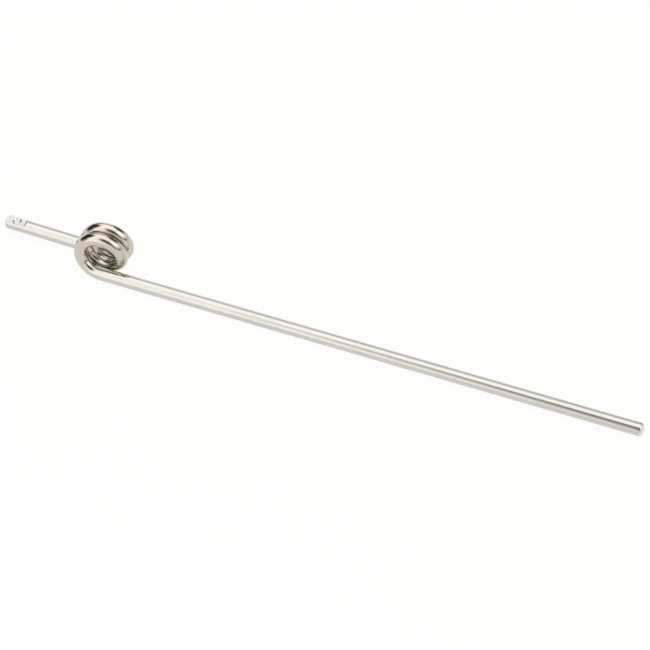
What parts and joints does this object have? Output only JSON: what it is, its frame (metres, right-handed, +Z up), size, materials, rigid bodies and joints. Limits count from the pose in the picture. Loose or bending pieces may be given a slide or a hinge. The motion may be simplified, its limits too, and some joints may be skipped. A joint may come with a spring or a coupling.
{
  "type": "drill paint mixer",
  "caption": "Bright round steel rod bent into a long straight drive shank, a close-wound stirring coil and a short straight tail with a small flat and a set screw dimple.",
  "frame": {"origin": "middle of the bounding box in X and Y, at the surface that the mixer lies on", "axes": "+X along the drive shank towards the end that goes in the chuck, +Y along the coil's axis towards the tail's side, +Z up with the coil standing on edge"},
  "size_m": [0.3, 0.0192, 0.0239],
  "materials": {
    "bright_steel": "polished round bar with faint drawing lines along it"
  },
  "bodies": {
    "shank": {"drive_shank": "bright_steel", "front_turn": "bright_steel"},
    "tail": {"rear_turn": "bright_steel", "tail": "bright_steel"}
  },
  "joints": [
    {"name": "coil_flex", "type": "hinge", "parent": "shank", "child": "tail", "pos_m": [-0.0995, 0, 0.01195], "axis": [0, 1, 0], "range_deg": [-5, 9], "stiffness_Nm_per_rad": 110, "deforming": ["front_turn", "rear_turn"]}
  ]
}
